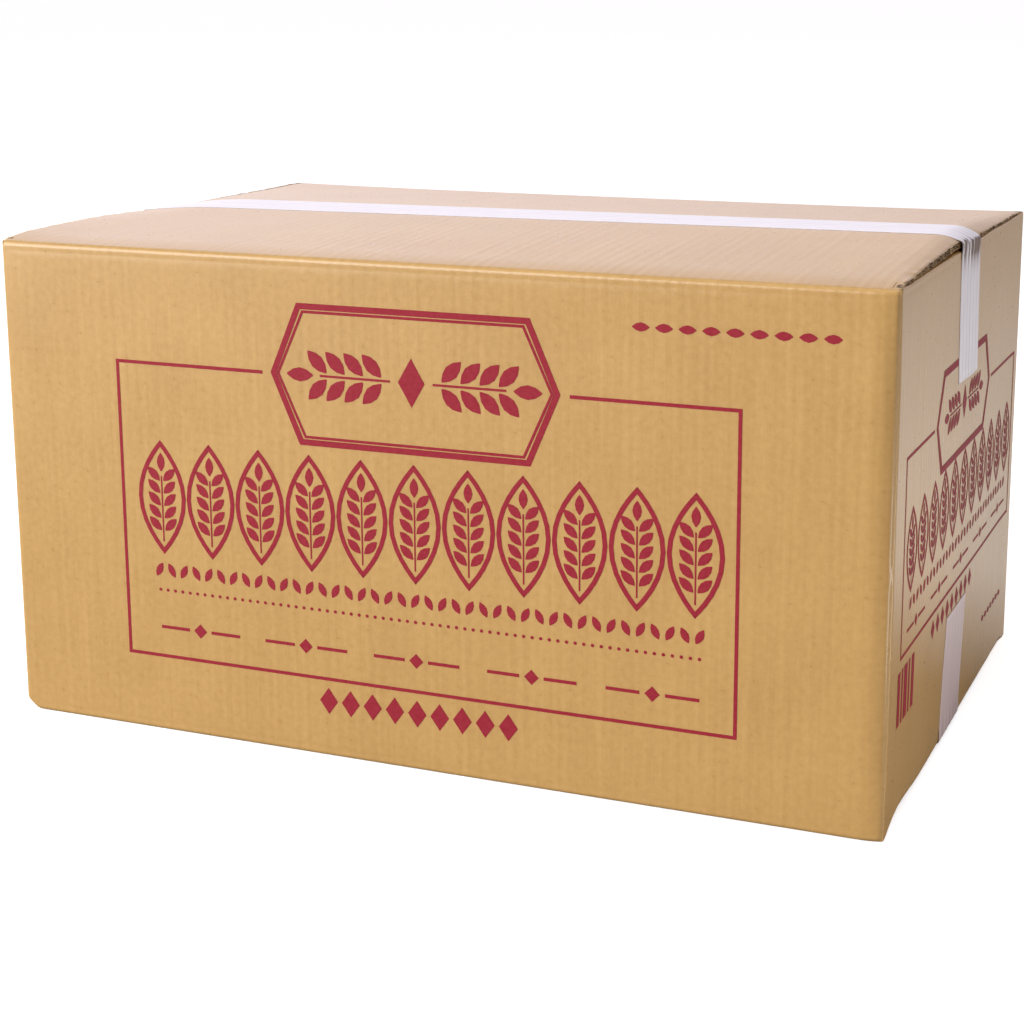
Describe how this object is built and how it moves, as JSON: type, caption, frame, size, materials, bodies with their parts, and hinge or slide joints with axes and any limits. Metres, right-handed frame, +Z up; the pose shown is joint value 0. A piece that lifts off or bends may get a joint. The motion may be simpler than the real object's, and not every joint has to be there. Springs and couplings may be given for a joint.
{
  "type": "sealed corrugated shipping carton",
  "caption": "Closed kraft board carton, a regular slotted container with its flaps folded in and taped along the top and bottom seams.",
  "frame": {"origin": "on the floor, under the middle of the carton", "axes": "+X along the length, towards the right end panel; the front panel faces -Y; +Z up"},
  "size_m": [0.6116, 0.412, 0.342],
  "materials": {
    "kraft_board": "unbleached kraft liner, matt, printed in dark red",
    "white_tape": "white ribbed carton tape, slightly shiny"
  },
  "bodies": {
    "root": {"carton_walls": "kraft_board", "top_minor_flap_left": "kraft_board", "top_minor_flap_right": "kraft_board", "top_major_flap_front": "kraft_board", "top_major_flap_back": "kraft_board", "bottom_minor_flap_left": "kraft_board", "bottom_minor_flap_right": "kraft_board", "bottom_major_flap_front": "kraft_board", "bottom_major_flap_back": "kraft_board", "tape_top": "white_tape", "tape_bottom": "white_tape"}
  },
  "joints": []
}
